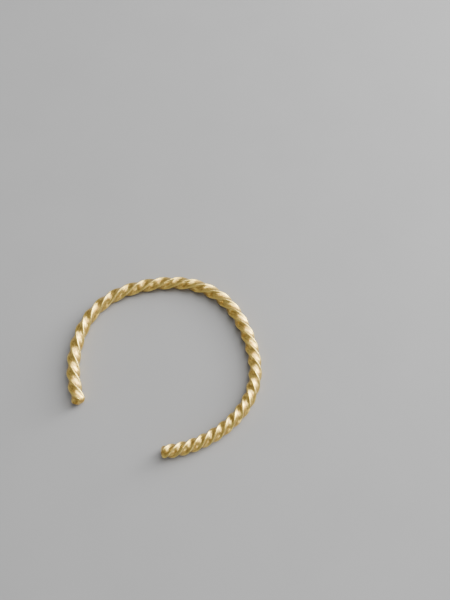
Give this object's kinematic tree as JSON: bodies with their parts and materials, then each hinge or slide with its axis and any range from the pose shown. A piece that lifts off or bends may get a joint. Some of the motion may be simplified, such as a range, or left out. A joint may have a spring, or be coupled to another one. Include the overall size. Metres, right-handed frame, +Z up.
{
  "type": "cuff bangle",
  "caption": "Open C-shaped cuff bangle of square brass bar with a left-hand twist and rounded tips, lying flat.",
  "frame": {"origin": "on the table, under the middle of the bangle's outline", "axes": "+Z up out of the table, square to the plane of the bend; +Y from the gap between the tips to the back of the wrist; +X towards the tip where the twist is tight"},
  "size_m": [0.0644, 0.0584, 0.0043],
  "materials": {
    "brass": "hand polished, with fine file marks along the ridges"
  },
  "bodies": {
    "root": {"twisted_bar": "brass"}
  },
  "joints": []
}
